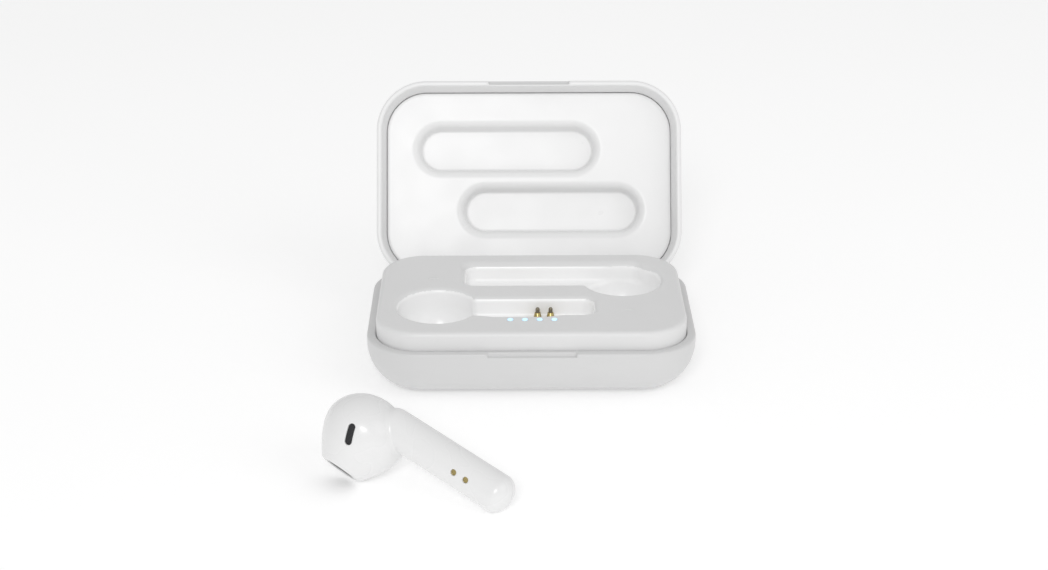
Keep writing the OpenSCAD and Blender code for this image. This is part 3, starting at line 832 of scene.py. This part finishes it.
def bud_skins():
    """The two halves of the earbud's shell."""
    place = bud_place()
    for node, front in (("bud_front_cover", True), ("bud_back_cover", False)):
        z0, z1 = (-0.5, HEAD_R + 0.9) if front else (-HEAD_R - 0.9, 0.5)
        skin(node, "earbud", bud_half_field(front), (-0.7, -14.6, z0), (BUD_LENGTH + 0.7, 4.6, z1),
             BUD_STEP, bud_white, place)


def plungers():
    """The four charging pins, each with a round tip and a wider foot."""
    for i, centre in zip(PINS, pin_places):
        node = f"charge_pin_{i}"
        low, high = box_mm(node)
        foot_z = low[2] + FOOT_H
        outline = ([(0, low[2]), (FOOT_R, low[2]), (FOOT_R, foot_z), (PLUNGER_R, foot_z)]
                   + arc(PLUNGER_R, high[2], PLUNGER_R * 0.95) + [(0, high[2])])
        piece = turned(f"{node}_skin", outline, [centre])
        stand_for(piece, node, f"contact_pin_{i}", dark_gold)


def springs():
    """The spring under each pin, a coil of fixed length on the base."""
    for i, centre in zip(PINS, pin_places):
        node = f"pin_spring_{i}"
        low, high = box_mm(node)
        spring = coil(f"{node}_skin", centre, low[2], high[2], SPRING_R, SPRING_WIRE)
        stand_for(spring, node, "base", steel)
        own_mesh(spring)


def barrels():
    """The barrels that the pins slide in: a collar, a cone above it and a shouldered bore."""
    low, high = box_mm("pin_barrels")
    chamfer = 0.06
    bore_z = low[2] + BARREL_FLOOR
    outside = [(0, low[2]), (BARREL_R, low[2]), (BARREL_R, COLLAR_Z - 0.1), (BARREL_R - chamfer, COLLAR_Z),
               (BARREL_TOP_R, high[2] - chamfer), (BARREL_TOP_R - chamfer, high[2])]
    bore = [(PLUNGER_BORE_R, high[2]), (PLUNGER_BORE_R, SHOULDER_Z), (BARREL_BORE_R, SHOULDER_Z),
            (BARREL_BORE_R, bore_z), (0, bore_z)]
    piece = turned("pin_barrels_skin", outside + bore, pin_places)
    stand_for(piece, "pin_barrels", "base", gold)


def windows():
    """The four light windows, slightly proud of the tray."""
    bottom = window_low[2]
    outline = ([(0, bottom), (WINDOW_R, bottom)] + arc(WINDOW_R, TRAY_TOP + WINDOW_RISE - 0.03, 0.1)
               + [(0, TRAY_TOP + WINDOW_RISE)])
    piece = turned("light_windows_skin", outline, window_places)
    stand_for(piece, "light_windows", "base", window_glow)


base_skin()
tray_skin()
lid_skin()
liner_skin()
bud_skins()
plungers()
springs()
barrels()
windows()

# ---- Floor, light and camera, in metres ----

LOOK_AT = (0, 0, 0.01)
CAMERA_ELEVATION = math.radians(24.94)
CAMERA_AZIMUTH = 0.0132
CAMERA_DISTANCE = 0.4132
CAMERA_LENS = 64.81
AIM_UP = 0.00682
AIM_LEFT = 0.00149


def floor():
    """A plain pale floor that glows very slightly, so that it stays near white."""
    size = 3.0
    mesh = bpy.data.meshes.new("floor")
    corners = [(-size, -size, 0), (size, -size, 0), (size, size, 0), (-size, size, 0)]
    mesh.from_pydata(corners, [], [(0, 1, 2, 3)])
    material, nodes, links, shader, place = new_material("floor_white")
    soft = noise(nodes, links, place, 6.0, 2.0)
    links.new(tint(nodes, links, soft, (0.9, 0.9, 0.9), (0.92, 0.92, 0.92)), shader.inputs["Base Color"])
    shader.inputs["Roughness"].default_value = 0.9
    shader.inputs["Specular IOR Level"].default_value = 0.1
    shader.inputs["Emission Color"].default_value = (1, 1, 1, 1)
    shader.inputs["Emission Strength"].default_value = 0.24
    mesh.materials.append(material)
    add_object("floor", mesh)


def area_light(name, place, target, size, power):
    """A round soft light that looks at target."""
    data = bpy.data.lights.new(name, "AREA")
    data.shape = "DISK"
    data.size = size
    data.energy = power
    light = add_object(name, data)
    light.location = place
    light.rotation_euler = (Vector(target) - Vector(place)).to_track_quat("-Z", "Y").to_euler()


def studio():
    """Even white surroundings, a key light in front and above, and a weak fill from the right."""
    world = bpy.data.worlds.new("studio")
    bpy.context.scene.world = world
    world.use_nodes = True
    sky = world.node_tree.nodes["Background"]
    sky.inputs["Color"].default_value = (1, 1, 1, 1)
    sky.inputs["Strength"].default_value = 0.64
    area_light("key", (-0.1, -0.9, 0.62), LOOK_AT, 0.35, 2.9)
    area_light("fill", (0.6, -0.4, 0.5), LOOK_AT, 0.6, 0.7)
    bpy.context.scene.view_settings.view_transform = "Standard"


def camera():
    """A long lens that looks down at the case from the front, aimed a little above and left of its middle."""
    right = Vector((math.cos(CAMERA_AZIMUTH), -math.sin(CAMERA_AZIMUTH), 0))
    away = Vector((math.sin(CAMERA_AZIMUTH), math.cos(CAMERA_AZIMUTH), 0))
    back = -away * math.cos(CAMERA_ELEVATION) + Vector((0, 0, math.sin(CAMERA_ELEVATION)))
    up = away * math.sin(CAMERA_ELEVATION) + Vector((0, 0, math.cos(CAMERA_ELEVATION)))
    place = Vector(LOOK_AT) + back * CAMERA_DISTANCE
    aim = Vector(LOOK_AT) + up * AIM_UP - right * AIM_LEFT
    data = bpy.data.cameras.new("camera")
    data.lens = CAMERA_LENS
    data.sensor_width = 36.0
    data.clip_start = 0.01
    data.clip_end = 20.0
    viewer = add_object("camera", data)
    viewer.location = place
    viewer.rotation_euler = (aim - place).to_track_quat("-Z", "Y").to_euler()
    bpy.context.scene.camera = viewer


floor()
studio()
camera()
